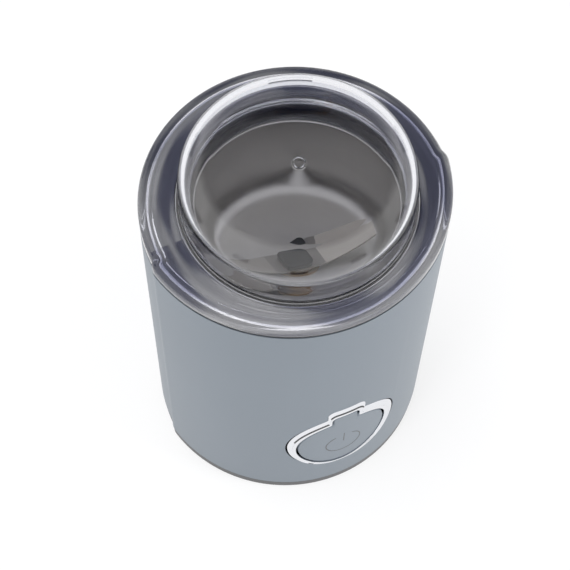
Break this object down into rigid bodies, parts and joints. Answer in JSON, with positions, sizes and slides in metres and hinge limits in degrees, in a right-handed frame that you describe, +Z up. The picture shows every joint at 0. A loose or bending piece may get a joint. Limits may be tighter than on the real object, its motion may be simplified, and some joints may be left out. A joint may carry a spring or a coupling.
{
  "type": "electric spice grinder",
  "caption": "Compact electric spice grinder: oval painted sleeve on a grey base, clear domed lid over a steel bowl with a rotating blade, chrome-framed push button low on the front.",
  "frame": {"origin": "centre of the plan's bounding box, at the bottom of the feet", "axes": "+Z up along the motor shaft, -Y towards the push button, +X to the right seen from the front"},
  "size_m": [0.0976, 0.0944, 0.1512],
  "materials": {
    "body_paint": "fine metallic satin paint, blue grey",
    "button_paint": "metallic satin lacquer on plastic",
    "base_plastic": "fine grained mid grey",
    "deck_plastic": "dark smooth plastic",
    "clear_plastic": "clear, polished",
    "bezel_chrome": "bright plating",
    "bowl_steel": "turned, fine circular brushing",
    "blade_steel": "ground",
    "shaft_steel": "ground",
    "bracket_steel": "zinc plated",
    "screw_steel": "zinc plated",
    "spring_steel": "drawn wire",
    "bearing_bronze": "sintered bronze",
    "lamination_iron": "stacked sheets",
    "copper_wire": "enamelled",
    "carbon": "pressed carbon",
    "black_plastic": "moulded",
    "seal_rubber": "soft, matte"
  },
  "bodies": {
    "housing": {"body_shell": "body_paint", "base_cover": "base_plastic", "rubber_feet": "seal_rubber", "base_screws": "screw_steel", "top_deck": "deck_plastic", "grinding_bowl": "bowl_steel", "bowl_gasket": "seal_rubber", "bowl_bush": "bearing_bronze", "shaft_seal": "seal_rubber", "upper_bracket": "bracket_steel", "lower_bracket": "bracket_steel", "upper_bearing": "bearing_bronze", "lower_bearing": "bearing_bronze", "motor_mounts": "seal_rubber", "mount_screws": "screw_steel", "stator_core": "lamination_iron", "field_coils": "copper_wire", "brush_holders": "black_plastic", "carbon_brushes": "carbon", "brush_springs": "spring_steel", "motor_screws": "screw_steel", "button_bezel": "bezel_chrome", "button_carrier": "black_plastic", "carrier_screws": "screw_steel", "button_spring": "spring_steel", "power_switch": "black_plastic", "interlock_switch": "black_plastic", "interlock_spring": "spring_steel", "cord_gland": "seal_rubber", "cord_clamp": "black_plastic", "clamp_screws": "screw_steel", "terminal_block": "black_plastic", "noise_capacitor": "black_plastic"},
    "rotor": {"rotor_shaft": "shaft_steel", "grinding_blade": "blade_steel", "blade_hub": "blade_steel", "blade_nut": "black_plastic", "armature_core": "lamination_iron", "armature_windings": "copper_wire", "commutator": "copper_wire", "cooling_fan": "black_plastic"},
    "button": {"push_button": "button_paint"},
    "interlock": {"interlock_pin": "black_plastic"},
    "lid": {"lid": "clear_plastic"}
  },
  "joints": [
    {"name": "rotor_spin", "type": "hinge", "parent": "housing", "child": "rotor", "pos_m": [0, -0.0026, 0], "axis": [0, 0, 1], "continuous": true},
    {"name": "button_press", "type": "slide", "parent": "housing", "child": "button", "axis": [0, 1, 0], "range_m": [0, 0.002], "stiffness_N_per_m": 900, "springref_m": -0.002, "deforming": ["button_spring"]},
    {"name": "lid_lift", "type": "slide", "parent": "housing", "child": "lid", "axis": [0, 0, 1], "range_m": [0, 0.06]},
    {"name": "interlock_press", "type": "slide", "parent": "housing", "child": "interlock", "axis": [0, 0, 1], "range_m": [0, 0.003], "deforming": ["interlock_spring"]}
  ],
  "couplings": [
    {"joint": "interlock_press", "follows": "lid_lift", "ratio": 0.05}
  ]
}
